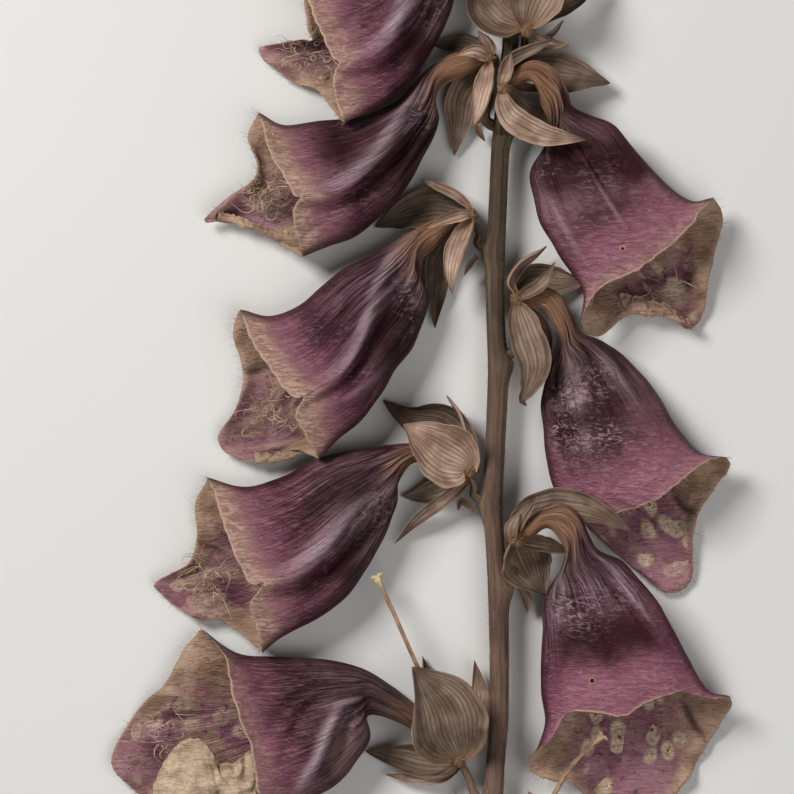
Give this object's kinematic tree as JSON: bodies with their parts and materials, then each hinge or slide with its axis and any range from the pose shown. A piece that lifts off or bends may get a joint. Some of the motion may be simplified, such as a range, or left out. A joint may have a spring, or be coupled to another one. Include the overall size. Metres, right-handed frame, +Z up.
{
  "type": "foxglove flower spike",
  "caption": "Cut and dried foxglove spike lying flat: a slim stem with bell-shaped purple flowers hanging on both sides, their sepals, pistils and closed buds at the tip.",
  "frame": {"origin": "on the surface that the spike lies on, under the middle of its bounding box", "axes": "+Y along the stem towards its tip, +Z up from the surface, +X to the right of the stem seen from above"},
  "size_m": [0.104, 0.199, 0.013],
  "materials": {
    "petal": "matte dried petal, plum purple fading to beige at the rims",
    "sepal": "matte papery dried sepal, beige with fine veins",
    "stem": "matte dried stem, olive brown, ribbed and downy",
    "pistil": "matte dried style, ochre brown",
    "bud": "matte dried bud, beige green"
  },
  "bodies": {
    "root": {"bract_L2": "sepal", "bract_L3": "sepal", "bract_L4": "sepal", "bract_L5": "sepal", "bract_R0": "sepal", "bract_R3": "sepal", "bud_1": "bud", "bud_2": "bud", "bud_3": "bud", "bud_4": "bud", "bud_5": "bud", "bud_6": "bud", "calyx_L1": "sepal", "calyx_L2": "sepal", "calyx_L3": "sepal", "calyx_L4": "sepal", "calyx_L5": "sepal", "calyx_R0": "sepal", "calyx_R1": "sepal", "calyx_R2": "sepal", "calyx_R3": "sepal", "calyx_R4": "sepal", "corolla_L1": "petal", "corolla_L2": "petal", "corolla_L3": "petal", "corolla_L4": "petal", "corolla_L5": "petal", "corolla_R1": "petal", "corolla_R2": "petal", "corolla_R3": "petal", "pedicel_L1": "stem", "pedicel_L2": "stem", "pedicel_L3": "stem", "pedicel_L4": "stem", "pedicel_L5": "stem", "pedicel_R0": "stem", "pedicel_R1": "stem", "pedicel_R2": "stem", "pedicel_R3": "stem", "pedicel_R4": "stem", "pistil_L1": "pistil", "pistil_L2": "pistil", "pistil_L3": "pistil", "pistil_L4": "pistil", "pistil_L5": "pistil", "pistil_R0": "pistil", "pistil_R1": "pistil", "pistil_R2": "pistil", "pistil_R3": "pistil", "pistil_R4": "pistil", "stem": "stem"}
  },
  "joints": []
}
